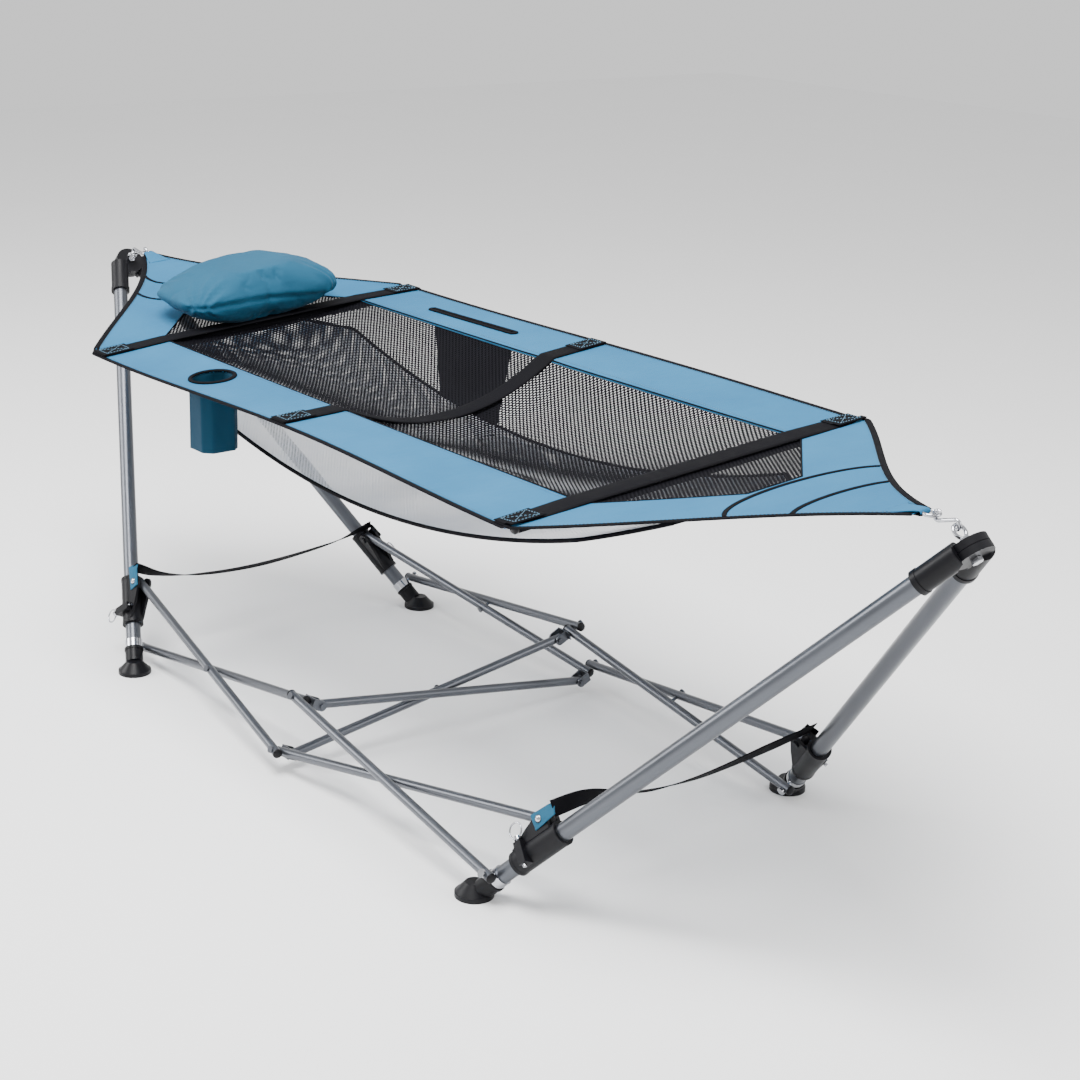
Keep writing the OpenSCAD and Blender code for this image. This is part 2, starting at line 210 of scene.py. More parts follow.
class Finish:
    """One material: its node tree, its Principled shader and the ways to fill them."""

    def __init__(self, name, **constants):
        self.mat = bpy.data.materials.new(name)
        self.mat.use_nodes = True
        self.tree = self.mat.node_tree
        self.shader = self.tree.nodes["Principled BSDF"]
        self.set(**constants)

    def plug(self, socket, value):
        if isinstance(value, Wire):
            self.tree.links.new(value.socket, socket)
        elif isinstance(value, (tuple, list)) and len(value) == 3 and socket.type == "RGBA":
            socket.default_value = (*value, 1.0)
        else:
            socket.default_value = value

    def set(self, **values):
        for k, v in values.items():
            self.plug(self.shader.inputs[k.replace("_", " ").title().replace("Ior", "IOR")], v)
        return self

    def node(self, kind, settings=None, out=0, **inputs):
        n = self.tree.nodes.new("ShaderNode" + kind)
        for k, v in (settings or {}).items():
            setattr(n, k, v)
        for k, v in inputs.items():
            self.plug(n.inputs[int(k)] if k.isdigit() else n.inputs[k], v)
        return Wire(self, n.outputs[out])

    def place(self):
        """Object coordinates, in metres, the same on every piece because each object sits at the origin."""
        return self.node("TexCoord", out=3)

    def parts(self):
        n = self.tree.nodes.new("ShaderNodeSeparateXYZ")
        self.plug(n.inputs[0], self.place())
        return [Wire(self, o) for o in n.outputs]

    def noise(self, scale, detail=3.0, rough=0.5, vector=None, stretch=None):
        v = vector or self.place()
        if stretch:
            v = self.node("Mapping", Vector=v, Scale=stretch)
        return self.node("TexNoise", Vector=v, Scale=scale, Detail=detail, Roughness=rough)

    def mix(self, fac, a, b):
        """A blend of two colours: a where fac is 0, b where it is 1."""
        n = self.tree.nodes.new("ShaderNodeMix")
        n.data_type = "RGBA"
        for k, v in ((0, fac), (6, a), (7, b)):
            self.plug(n.inputs[k], v)
        return Wire(self, n.outputs[2])

    def span(self, value, a, b, lo=0.0, hi=1.0):
        """value carried from the range a to b to the range lo to hi, and held there."""
        return self.node("MapRange", Value=value, **{"1": a, "2": b, "3": lo, "4": hi})

    def bump(self, height, strength=0.3, distance=0.001, normal=None):
        ins = dict(Height=height, Strength=strength, Distance=distance)
        if normal is not None:
            ins["Normal"] = normal
        return self.node("Bump", **ins)


print("shader toolkit ready")

# %% [markdown]
# The tubes are steel with a smooth grey powder coat that holds metal flake. The coat is even, so its life
# comes from a fine orange-peel bump, a slight change of tone along each tube and a little roughness that
# changes with it.

# %% Finish: grey powder coat
def powder_coat(name, tone):
    f = Finish(name, metallic=0.85, coat_weight=0.3)
    f.shader.inputs["Coat Roughness"].default_value = 0.28
    slow = f.noise(9.0, 4.0)
    fine = f.noise(950.0, 2.0)
    flake = f.span(f.noise(2600.0, 1.0), 0.55, 0.75)
    base = f.mix(slow, tuple(0.88 * t for t in tone), tuple(1.14 * t for t in tone))
    f.set(base_color=f.mix(flake * 0.35, base, tuple(min(1.0, 1.9 * t) for t in tone)))
    f.set(roughness=f.span(slow, 0.3, 0.7, 0.27, 0.37) + fine * 0.05)
    f.set(normal=f.bump(fine, 0.12, 0.0002))
    return f.mat


GREY = powder_coat("grey_powder_coat", (0.085, 0.091, 0.105))
print(GREY.name)

# %% [markdown]
# The caps, feet and sliders are black nylon, moulded with a fine grain, and worn to a slightly paler
# sheen here and there.

# %% Finish: black moulded plastic
def moulded_black(name, tone=(0.0030, 0.0030, 0.0040)):
    f = Finish(name, specular_ior_level=0.18)
    grain = f.noise(1400.0, 2.0)
    cloud = f.noise(14.0, 3.0)
    scuff = f.span(f.noise(60.0, 5.0, stretch=(1.0, 1.0, 0.35)), 0.6, 0.8)
    f.set(base_color=f.mix(scuff * 0.35, f.mix(cloud, tone, tuple(2.1 * t for t in tone)),
                           (0.014, 0.014, 0.017)))
    f.set(roughness=f.span(cloud, 0.3, 0.7, 0.3, 0.42) + grain * 0.08)
    f.set(normal=f.bump(grain, 0.22, 0.0003))
    return f.mat


BLACK = moulded_black("black_nylon")
print(BLACK.name)

# %% [markdown]
# Bolts, nuts, pins, rings and hooks are bright plated steel. A faint cloud in the roughness keeps the
# mirror from looking computed.

# %% Finish: bright plate
def bright_plate(name):
    f = Finish(name, metallic=1.0)
    cloud = f.noise(120.0, 3.0)
    f.set(base_color=f.mix(cloud, (0.40, 0.41, 0.44), (0.58, 0.59, 0.62)))
    f.set(roughness=f.span(cloud, 0.35, 0.7, 0.08, 0.20))
    f.set(normal=f.bump(f.noise(400.0, 2.0), 0.05, 0.0002))
    return f.mat


PLATE = bright_plate("bright_plate")
print(PLATE.name)

# %% [markdown]
# The blue canvas is a plain weave of coarse polyester. Two sets of threads cross: where one is on top the
# other is below, so a chequer of half rounds gives the bump. Slow noise shifts the tone, as dye and light
# wrinkles do.

# %% Finish: blue canvas
def weave(f, across, along, pitch):
    """Height of a plain weave: warp and weft take turns on top in a chequer, each thread a half round."""
    u, v = across * (1.0 / pitch), along * (1.0 / pitch)
    turn = (u.floor() + v.floor()).mod2()
    warp, weft = (u.fract() * math.pi).sin(), (v.fract() * math.pi).sin()
    return turn * warp + (1.0 - turn) * weft


def canvas(name, tone, dark, pitch=0.0011, wrinkle=0.5):
    f = Finish(name, sheen_weight=0.04, specular_ior_level=0.12)
    f.shader.inputs["Sheen Roughness"].default_value = 0.4
    x, y, z = f.parts()
    threads = weave(f, x, y + z * 0.7, pitch)
    slow = f.noise(7.0, 4.0)
    crease = f.noise(16.0, 5.0, 0.6, stretch=(1.0, 0.45, 1.0))
    base = f.mix(f.span(slow, 0.3, 0.7), dark, tone)
    # Painted highlight and painted shade: the crowns of the threads are painted lighter and the hollows
    # between them darker, following the weave's relief.
    f.set(base_color=f.mix(threads * 0.22, base, tuple(min(1.0, 1.35 * t) for t in tone)))
    f.set(roughness=f.span(threads, 0.0, 1.0, 0.86, 0.72))
    broad = f.bump(crease, wrinkle, 0.006)
    f.set(normal=f.bump(threads, 0.35, 0.0004, broad))
    return f.mat


BLUE = canvas("blue_canvas", (0.026, 0.140, 0.270), (0.019, 0.112, 0.225), wrinkle=0.6)
PILLOW = canvas("pillow_canvas", (0.016, 0.086, 0.150), (0.011, 0.066, 0.120), 0.0009, 0.5)
TEAL = canvas("cup_canvas", (0.006, 0.038, 0.070), (0.004, 0.030, 0.056), 0.0009, 0.35)
BLUE_DARK = canvas("patch_canvas", (0.022, 0.11, 0.19), (0.016, 0.085, 0.15), 0.0009, 0.3)
print(BLUE.name, PILLOW.name, TEAL.name)

# %% [markdown]
# The black webbing and the binding tape are ribbed: a row of fine cords and a twill across it, both in
# the bump. Their stitches are pieces of their own, made with the straps.

# %% Finish: webbing and tape
def webbing(name, tone=(0.0022, 0.0022, 0.0030)):
    f = Finish(name, specular_ior_level=0.06)
    x, y, z = f.parts()
    ribs = ((x + y + z) * (2 * math.pi / 0.0022)).sin() * 0.5 + 0.5
    twill = ((x - y + z * 0.5) * (2 * math.pi / 0.0016)).sin() * 0.5 + 0.5
    slow = f.noise(24.0, 4.0)
    # The slow noise varies the tone at random. The raised ribs and twill are painted lighter and their
    # hollows darker: painted highlight and painted shade that follow the relief.
    f.set(base_color=f.mix(slow * 0.7 + ribs * twill * 0.3, tone, tuple(2.8 * t for t in tone)))
    f.set(roughness=f.span(slow, 0.3, 0.7, 0.62, 0.82))
    f.set(normal=f.bump(ribs * 0.6 + twill * 0.4, 0.4, 0.0005))
    return f.mat


WEB = webbing("black_webbing")
print(WEB.name)

# %% [markdown]
# The bed's mesh is knitted in rows of small holes. It is too fine to build, so the sheet's Alpha is cut
# by the pattern: rows of rounded openings, each row half a step from the last, in a dark yarn. The
# storage net is the same knit in white, finer and thinner.

# %% Finish: knitted nets
def net(name, tone, pitch_x, pitch_y, yarn, shine=0.3, rough=0.7):
    """Alpha is 1 on the yarn. Openings are ellipses on a brick-like lattice, measured along and across the
    bed."""
    f = Finish(name, roughness=rough, specular_ior_level=shine)
    x, y, z = f.parts()
    row = x * (1.0 / pitch_x)
    shift = row.floor().mod2() * 0.5
    u = row.fract() - 0.5
    v = (y * (1.0 / pitch_y) + shift).fract() - 0.5
    away = (u * u * 4.6 + v * v * 4.6)
    hole = away.less(yarn)
    slow = f.noise(12.0, 3.0)
    f.set(alpha=1.0 - hole)
    f.set(base_color=f.mix(slow, tone, tuple(min(1.0, 1.6 * t) for t in tone)))
    f.set(normal=f.bump(away, 0.4, 0.0006))
    return f.mat


MESH = net("dark_knit", (0.003, 0.003, 0.0045), 0.0050, 0.0072, 0.40, shine=0.06)
POCKET = net("pocket_knit", (0.002, 0.002, 0.0028), 0.0026, 0.0036, 0.08, shine=0.05)
NET = net("white_knit", (0.74, 0.77, 0.85), 0.0046, 0.0062, 0.50, rough=0.6)
print(MESH.name, POCKET.name, NET.name)

# %% [markdown]
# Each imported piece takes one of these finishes. The pieces that stand for cloth are not shown as they
# are: the cloth made below replaces them.

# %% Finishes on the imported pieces
def wear(node, mat):
    """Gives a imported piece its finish."""
    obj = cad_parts[node]
    obj.data.materials.clear()
    obj.data.materials.append(mat)


METAL = {n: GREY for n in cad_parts
         if n.startswith(("leg_", "brace_", "bracket_", "cross_tube", "spreader"))}
PLASTIC = {n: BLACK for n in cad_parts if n.startswith(("top_cap", "foot_", "slider"))}
BRIGHT = {n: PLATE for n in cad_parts
          if n.startswith(("pivot_ring", "hitch_pin", "eye_bolt", "s_hook", "bed_ring"))}
for n, m in {**METAL, **PLASTIC, **BRIGHT}.items():
    wear(n, m)
print(len(METAL), "tubes,", len(PLASTIC), "mouldings,", len(BRIGHT), "bright fittings")

# %% [markdown]
# The bed hangs a little lower on its near side. Everything sewn to it is worked out flat, as a distance
# along, a distance across and a height above the bed's plane, and then rolled by that angle. Between its
# cross straps the mesh hangs in a shallow trough, and past them the canvas runs up to the two hooks.

# %% The bed's shape
TILT, BED_Z = math.radians(4.45), 0.626
HEAD, MID, FOOT = -0.5856, 0.003, 0.613
TIP_H, TIP_F = -1.034, 1.052
INNER = 0.213
BORDER_HEAD, BORDER_FOOT = -0.602, 0.629
TAPE_HEAD, TAPE_FOOT = -0.604, 0.631


def rolled(x, y, h):
    """A point of the bed's plane turned by the bed's roll."""
    x, y, h = np.broadcast_arrays(x, y, h)
    return np.stack([x, y * math.cos(TILT) - h * math.sin(TILT),
                     BED_Z + y * math.sin(TILT) + h * math.cos(TILT)], -1)


def edge(x):
    """Half the bed's width: near straight along the borders, then a straight taper that flares inward near
    each tip."""
    x = np.asarray(x, float)
    w = 0.345 - 0.012 * np.sin(np.pi * np.clip((x - HEAD) / (FOOT - HEAD), 0, 1)) ** 2
    for start, tip in ((TAPE_HEAD, TIP_H), (TAPE_FOOT, TIP_F)):
        s = (x - start) / (tip - start)
        taper = 0.347 + (0.016 - 0.347) * s - 0.045 * np.clip(s, 0, 1) * np.sin(np.pi * np.clip(s, 0, 1))
        w = np.where(s > 0, np.maximum(taper, 0.014), w)
    return w


def trough(x):
    """Depth of the mesh's middle: none at the end straps, 58 mm at the middle strap and 80 mm between."""
    s = np.clip((np.asarray(x, float) - HEAD) / (FOOT - HEAD), 0, 1)
    full = 0.082 * np.sin(np.pi * s) ** 0.55
    return full - 0.022 * np.exp(-((np.asarray(x) - MID) / 0.05) ** 2)


def height(x, y):
    """Height of the cloth over the bed's plane: a rise to each tip, less the trough, whose section is a
    parabola."""
    x, y = np.asarray(x, float), np.asarray(y, float)
    rise = 0.050 * np.clip((x - TAPE_HEAD) / (TIP_H - TAPE_HEAD), 0, 1) ** 1.1
    rise = rise + 0.048 * np.clip((x - TAPE_FOOT) / (TIP_F - TAPE_FOOT), 0, 1) ** 1.1
    inside = np.clip(1 - (np.abs(y) / INNER) ** 2, 0, 1)
    wave = 0.004 * np.sin(5.2 * x + 1.0) * np.clip((np.abs(y) - INNER) / 0.12, 0, 1)
    return rise - trough(x) * inside + wave * (np.abs(x) < 0.62)


def on_bed(x, y, lift=0.0):
    """Points of the bed's cloth, lifted off it by a little."""
    return rolled(x, y, height(x, y) + lift)


def hung(obj, *stands_for, slot="blue_fabric", flat=None, area=None):
    """A piece of the bed: it swings with the bed, hides the imported pieces it stands for and is listed
    among the bed's pieces."""
    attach(obj, "bed")
    if stands_for:
        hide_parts(*stands_for)
    BED_PIECES.append(obj)
    return obj


BED_PIECES = []
print("trough", trough(np.array([-0.3, 0.0, 0.3])).round(3),
      "half width", edge(np.array([-0.9, 0.0, 0.9])).round(3))


def area_of(p, keep=None):
    """The area of a grid's faces, from the cross product of each face's diagonals."""
    d1, d2 = p[1:, 1:] - p[:-1, :-1], p[1:, :-1] - p[:-1, 1:]
    a = np.linalg.norm(np.cross(d1, d2), axis=-1) / 2
    return float(a[keep].sum() if keep is not None else a.sum())


# %% [markdown]
# The mesh is one sheet from past the head strap to past the foot strap, so that a strip of it shows in
# each end panel.

# %% Mesh
x = np.linspace(-0.704, 0.790, 200)[:, None]
past = np.maximum(np.abs(x) - np.where(x < 0, -BORDER_HEAD, BORDER_FOOT), 0.0)
y = (INNER + 0.004 - 0.93 * past) * np.linspace(-1, 1, 60)[None]
p = on_bed(x, y, -0.0014)
mesh_sheet = cloth("mesh_sheet", p, 0.0006)
mesh_sheet.data.materials.append(MESH)
hung(mesh_sheet, "bed_mesh", slot="dark_mesh", flat=(0.45, 1.45), area=min(area_of(p), 0.65))
print("mesh", round(area_of(p), 3), "m2")

# %% [markdown]
# The two borders and the two end panels are canvas. Each is a grid that follows the bed's edge. The cup's
# hole and the pocket's slit leave faces out of the near and the far border, and each end panel has an
# opening where the mesh shows, as wide as the mesh at the strap and narrower toward the tip.

# %% Borders
CUP_X, CUP_Y = -0.310, -0.269
for name, far, node in (("border_near", -1, "bed_border_near"), ("border_far", 1, "bed_border_far")):
    xs = np.linspace(BORDER_HEAD, BORDER_FOOT, 400)[:, None]
    s = np.linspace(0, 1, 46)[None]
    ys = far * (INNER - 0.006 + (edge(xs) - INNER + 0.006) * s)
    p = on_bed(xs, ys)
    mid = (p[1:, 1:] + p[:-1, :-1]) / 2
    if far < 0:
        keep = np.hypot(mid[..., 0] - CUP_X, mid[..., 1] - CUP_Y) > 0.0368
    else:
        keep = (np.abs(mid[..., 0] + 0.289) > 0.126) | (np.abs(mid[..., 1] - 0.266) > 0.0045)
    obj = cloth(name, p, 0.0014, keep=keep, flip=far > 0)
    obj.data.materials.append(BLUE)
    hung(obj, node, flat=(0.14, 1.3), area=area_of(p, keep))
    print(name, round(area_of(p, keep), 3), "m2")

# %% End panels
MESH_END = {"head": -0.700, "foot": 0.786}


def opening(x):
    """Half the width of the mesh showing in an end panel: full at the strap, and narrowing as the panel
    does."""
    past = np.abs(x) - np.where(x < 0, -BORDER_HEAD, BORDER_FOOT)
    return 0.206 - 0.98 * past


for name, start, tip, node, b in (
    ("panel_head", BORDER_HEAD, TIP_H, "bed_panel_head", MESH_END["head"]),
    ("panel_foot", BORDER_FOOT, TIP_F, "bed_panel_foot", MESH_END["foot"]),
):
    xs = np.linspace(start, tip, 210)[:, None]
    s = np.linspace(-1, 1, 190)[None]
    w = edge(xs)
    ys = w * s
    p = on_bed(xs, ys)
    mid = (p[1:, 1:] + p[:-1, :-1]) / 2
    keep = (np.abs(mid[..., 1]) > opening(mid[..., 0])) | (np.abs(mid[..., 0]) > abs(b))
    obj = cloth(name, p, 0.0014, keep=keep, flip=tip > 0)
    obj.data.materials.append(BLUE)
    hung(obj, node, flat=(0.69, 0.6), area=max(area_of(p, keep), 0.3 * 0.69 * 0.6))
    print(name, round(area_of(p, keep), 3), "m2")

# %% [markdown]
# Black tape is folded over every raw edge. It is a flattened tube along the edge, wider than it is thick.

# %% Binding tape
def bind(name, path, wide=0.0055, thick=0.0017, closed=False, up=(0, 0, 1)):
    """Tape folded over an edge: a tube flattened to wide across and thick through."""
    obj = tube(name, path, wide, 10, closed, up, r2=thick)
    obj.data.materials.append(WEB)
    return hung(obj, slot="webbing")


for tag, far in (("near", -1), ("far", 1)):
    xs = np.linspace(TAPE_HEAD, TAPE_FOOT, 160)
    bind(f"binding_{tag}", on_bed(xs, far * (edge(xs) - 0.001), 0.0004))
    bind(f"inner_tape_{tag}", on_bed(xs, far * (INNER - 0.004) + 0 * xs, 0.0016), 0.0022, 0.0011)
    for end, start, tip in (("head", TAPE_HEAD, TIP_H), ("foot", TAPE_FOOT, TIP_F)):
        xe = np.linspace(start, tip, 90)
        bind(f"binding_{end}_{tag}", on_bed(xe, far * (edge(xe) - 0.001), 0.0004))
print(len(BED_PIECES), "bed pieces so far")

# %% [markdown]
# Each end panel has two darts closed with black tape, which curve from edge to edge and shape the panel
# toward its hook. The opening where the mesh shows has a thin turned hem on its three sides.

# %% Darts and mesh edges
for end, sign, places in (
    ("head", -1, ((0.760, 0.090), (0.850, 0.080))),
    ("foot", 1, ((0.797, 0.050), (0.893, 0.022))),
):
    for k, (at, bow) in enumerate(places):
        s = np.linspace(-1, 1, 60)
        xs = sign * (at + bow * s ** 2)
        ys = s * (edge(xs) - 0.004)
        bind(f"dart_{end}_{k}", on_bed(xs, ys, 0.0014), 0.0036, 0.0011)
    stop = MESH_END[end]
    start = TAPE_HEAD if sign < 0 else TAPE_FOOT
    for far in (-1, 1):
        xe = np.linspace(start, stop, 40)
        bind(f"mesh_side_{end}_{'near' if far < 0 else 'far'}",
             on_bed(xe, far * opening(xe), 0.0008), 0.0016, 0.0009)
    ys = np.linspace(-1, 1, 30) * float(opening(np.array(stop)))
    bind(f"mesh_edge_{end}", on_bed(stop + 0 * ys, ys, 0.0008), 0.0016, 0.0009)
print("darts sewn")

# %% [markdown]
# Three straps of wide black webbing cross the bed and carry it: one over each spreader bar and one in the
# middle. A patch of webbing covers each end, and a boxed cross of stitches holds it.

# %% Cross straps
def strap(name, at, reach, node, lift=0.0032, wide=0.040):
    """Webbing laid across the bed at one place along it, up on the cloth, with slightly rounded edges."""
    u = np.linspace(-0.5, 0.5, 7)[:, None] * wide
    v = np.linspace(-1, 1, 120)[None] * reach
    drop = -0.0008 * (2 * u / wide) ** 4
    p = rolled(at + u + 0 * v, v + 0 * u, height(at + 0 * v, v) + lift + drop)
    obj = cloth(name, p, 0.0020)
    obj.data.materials.append(WEB)
    return hung(obj, node, slot="webbing", flat=(wide, 2 * reach))


STRAPS = (
    ("strap_head", HEAD - 0.004, 0.345, "bed_strap_head"),
    ("strap_middle", MID, 0.331, "bed_strap_middle"),
    ("strap_foot", FOOT, 0.345, "bed_strap_foot"),
)
for name, at, reach, node in STRAPS:
    strap(name, at, reach, node)
    for far in (-1, 1):
        u = np.linspace(-0.0205, 0.0205, 8)[:, None]
        v = far * (reach - 0.062 + 0.060 * np.linspace(0, 1, 14))[None]
        obj = cloth(f"{name}_patch_{'near' if far < 0 else 'far'}",
                    on_bed(at + u + 0 * v, v + 0 * u, 0.0050), 0.0012, flip=far > 0)
        obj.data.materials.append(WEB)
        hung(obj, slot="webbing", flat=(0.041, 0.060))
print("straps laid")

# %% [markdown]
# Sewing thread in a lighter tone runs round each strap end as a box with a cross in it. A stitch is a
# short fat tube, repeated along the lines, and all the stitches of the bed are one piece.

# %% Box stitches
def stitches(name, runs, mat, pitch=0.006, r=0.0007):
    """Short stitches along polylines: each is a four-sided bar, half a pitch long, raised a little in the
    middle."""
    starts, ends = [], []
    for run in runs:
        run = np.asarray(run, float)
        seg = np.diff(run, axis=0)
        length = np.linalg.norm(seg, axis=1)
        total = np.concatenate([[0], np.cumsum(length)])
        at = np.arange(0.0, total[-1] - 0.6 * pitch, pitch)
        pick = lambda d: np.stack([np.interp(d, total, run[:, k]) for k in range(3)], -1)
        starts.append(pick(at))
        ends.append(pick(at + 0.62 * pitch))
    a, b = np.concatenate(starts), np.concatenate(ends)
    t = unit(b - a)
    n = unit(np.cross(t, np.broadcast_to([0.0, 0.03, 1.0], t.shape)))
    k = np.cross(n, t)
    ang = np.arange(4) * np.pi / 2
    ring = (n[:, None] * np.cos(ang)[None, :, None] + k[:, None] * np.sin(ang)[None, :, None]) * r
    up = k * r * 0.9
    rows = np.stack([a[:, None] + ring * 0.35, (a * 0.75 + b * 0.25 + up)[:, None] + ring,
                     (a * 0.25 + b * 0.75 + up)[:, None] + ring, b[:, None] + ring * 0.35], 1)
    m = len(a)
    v = rows.reshape(-1, 3)
    base = (np.arange(m) * 16)[:, None, None]
    quad = np.array([[r0 * 4 + c, r0 * 4 + (c + 1) % 4, r0 * 4 + 4 + (c + 1) % 4, r0 * 4 + 4 + c]
                     for r0 in range(3) for c in range(4)]
                    + [[3, 2, 1, 0], [12, 13, 14, 15]])
    faces = (base + quad[None]).reshape(-1, 4)
    mesh = bpy.data.meshes.new(name)
    mesh.from_pydata(v.tolist(), [], faces.tolist())
    mesh.polygons.foreach_set("use_smooth", np.ones(len(mesh.polygons), bool))
    mesh.update()
    obj = link(name, mesh)
    obj.data.materials.append(mat)
    return obj


def thread(name, tone):
    f = Finish(name, sheen_weight=0.2)
    n = f.noise(900.0, 2.0)
    f.set(base_color=f.mix(n, tone, tuple(1.25 * t for t in tone)))
    f.set(roughness=f.span(n, 0.3, 0.7, 0.45, 0.6))
    return f.mat


THREAD = thread("blue_thread", (0.05, 0.14, 0.22))
runs = []
for _, at, reach, _ in STRAPS:
    for far in (-1, 1):
        a, b = reach - 0.054, reach - 0.010
        box = [(-1, a), (1, a), (1, b), (-1, b), (-1, a), (1, b)]
        pts = np.array([on_bed(at + 0.016 * i, far * j, 0.0057) for i, j in box])
        runs.append(pts)
        runs.append(np.array([on_bed(at + 0.016, far * a, 0.0057), on_bed(at - 0.016, far * b, 0.0057)]))
obj = stitches("box_stitches", runs, THREAD)
hung(obj, slot="webbing")
print("box stitches", len(obj.data.polygons) // 14)

# %% [markdown]
# Along each edge tape one row of fine blue stitches holds the binding, and another runs beside the inner
# edge of each border.

# %% Edge stitches
runs = []
for far in (-1, 1):
    xs = np.linspace(-0.595, 0.622, 300)
    runs.append(on_bed(xs, far * (edge(xs) - 0.0085), 0.0012))
    runs.append(on_bed(xs, far * (INNER + 0.004) + 0 * xs, 0.0012))
    for start, tip in ((-0.61, TIP_H + 0.03), (0.637, TIP_F - 0.03)):
        xe = np.linspace(start, tip, 160)
        runs.append(on_bed(xe, far * (edge(xe) - 0.0085), 0.0012))
obj = stitches("edge_stitches", runs, THREAD, 0.0055, 0.00045)
hung(obj, slot="blue_fabric")
print("edge stitches", len(obj.data.polygons) // 14)

# %% [markdown]
# At each tip the canvas is gathered into a loop of webbing round a steel ring. The loop is a ribbon that
# goes out over the ring and back under it.

# %% Tip loops
for end, sign, tip, ring_x, ring_h in (
    ("head", -1, TIP_H, -1.0509, 0.0532),
    ("foot", 1, TIP_F, 1.0684, 0.0497),
):
    a = np.linspace(0.5 * np.pi, -0.5 * np.pi, 16)
    inner = abs(ring_x) - 0.0108
    out = np.linspace(abs(tip) - 0.042, inner, 14)
    cloth_h = height(sign * np.minimum(out, abs(tip)), 0 * out)
    ramp = np.clip((out - out[0]) / (out[-1] - out[0]), 0, 1) ** 2
    mid_h = cloth_h * (1 - ramp) + ring_h * ramp
    loop_x = np.concatenate([out, inner + 0.0042 * np.cos(a), out[::-1]])
    apart = 0.0010 + 0.0032 * ramp
    loop_h = np.concatenate([mid_h + apart, ring_h + 0.0042 * np.sin(a), (mid_h - apart)[::-1]])
    half = np.concatenate([np.linspace(0.024, 0.0090, 14), np.full(16, 0.0090),
                           np.linspace(0.0090, 0.024, 14)])
    v = np.linspace(-1, 1, 13)[None]
    centre_h = np.concatenate([mid_h, np.full(16, ring_h), mid_h[::-1]])
    roll = -0.0012 * v ** 4 * np.sign(loop_h - centre_h)[:, None]
    p = rolled(sign * loop_x[:, None] + 0 * v, half[:, None] * v, loop_h[:, None] + roll)
    for part, rows, mat in (("top", slice(0, 24), BLUE), ("under", slice(23, 44), WEB)):
        obj = cloth(f"tip_{part}_{end}", p[rows], 0.0016, flip=sign > 0)
        obj.data.materials.append(mat)
        hung(obj, slot="blue_fabric" if part == "top" else "webbing")
print("tip loops round the rings")

# %% [markdown]
# The cup holder is a square bag of canvas with its four corners cut off, hung from a bound round hole in
# the near border. Its wall is one profile, a square whose corners are drawn in, carried down from a
# circle at the rim.

# %% Cup holder
def squared(a, half, chamfer):
    """Radius at angle a of a square of half width half whose corners are cut at distance chamfer from the
    centre."""
    c = np.maximum(np.abs(np.cos(a)), np.abs(np.sin(a)))
    d = np.abs(np.cos(a)) + np.abs(np.sin(a))
    return np.minimum(half / c, chamfer * math.sqrt(2) / d)


a = np.linspace(0, 2 * np.pi, 96, endpoint=False)
z = np.concatenate([[0.602], np.linspace(0.596, 0.486, 34), [0.4815, 0.4805]])
round_to_square = np.clip((0.602 - z) / 0.026, 0, 1) ** 0.7
r = 0.0372 * (1 - round_to_square[:, None]) + round_to_square[:, None] * squared(a, 0.0345, 0.0392)[None]
r = r + 0.0004 * np.sin(3 * a + 31 * z[:, None]) * round_to_square[:, None]
wall = np.stack([CUP_X + r * np.cos(a), CUP_Y + r * np.sin(a), z[:, None] + 0 * r], -1)
wall[0, :, 2] = on_bed(wall[0, :, 0], wall[0, :, 1])[:, 2]
wall[1, :, 2] = wall[0, :, 2] - 0.006
obj = surface("cup_wall", wall, wrap_v=True)
m = obj.modifiers.new("thickness", "SOLIDIFY")
m.thickness, m.offset = 0.0016, 0.0
obj.data.materials.append(TEAL)
hung(obj, "cup_holder", slot="blue_fabric")
s = np.linspace(0.02, 1, 12)[:, None, None]
floor_p = np.array([CUP_X, CUP_Y, 0.4810]) * (1 - s) + wall[-1][None] * s
floor_p[..., 2] = 0.4810 - 0.0006 * (1 - s[..., 0])
obj = surface("cup_floor", floor_p, wrap_v=True, flip=True)
m = obj.modifiers.new("thickness", "SOLIDIFY")
m.thickness, m.offset = 0.0016, 0.0
obj.data.materials.append(TEAL)
hung(obj, slot="blue_fabric")
rim = np.stack([CUP_X + 0.0382 * np.cos(a), CUP_Y + 0.0382 * np.sin(a), 0 * a], -1)
rim[:, 2] = on_bed(rim[:, 0], rim[:, 1], 0.0018)[:, 2]
bind("cup_rim", rim, 0.0038, 0.0024, closed=True)
print("cup holder", round(float(z[0] - z[-1]) * 1000), "mm deep")

# %% [markdown]
# The pocket is a bag of close black mesh under a long slit in the far border. Its two sides hang nearly
# flat, belly a little, and run to a slanted lower edge.

# %% Pocket
u = np.linspace(0, 1, 60)[:, None]
v = np.linspace(0, 1, 44)[None]
top_z = on_bed(-0.29, 0.266)[2] - 0.002
xs = -0.414 + 0.250 * u + (0.022 - 0.082 * u) * v
drop = (0.150 + 0.092 * u - 0.030 * np.sin(np.pi * u) ** 2 * (1 - v)) * v
belly = 0.0042 * np.sin(np.pi * u) * np.sin(np.pi * np.clip(v, 0, 1)) ** 0.7
for k, s in (("front", -1), ("back", 1)):
    yy = 0.2665 + s * (0.0008 + belly) + 0.0015 * np.sin(9 * u + 3 * v)
    p = np.stack([xs + 0 * drop, yy + 0 * drop, top_z - drop], -1)
    obj = cloth(f"pocket_{k}", p, 0.0008, flip=s > 0)
    obj.data.materials.append(POCKET)
    hung(obj, *(["pocket"] if s < 0 else []), slot="black_fabric", flat=(0.25, 0.24), area=area_of(p))
lip = np.array([(-0.417, 0.2605), (-0.161, 0.2605), (-0.158, 0.266),
                (-0.161, 0.2715), (-0.417, 0.2715), (-0.420, 0.266)])
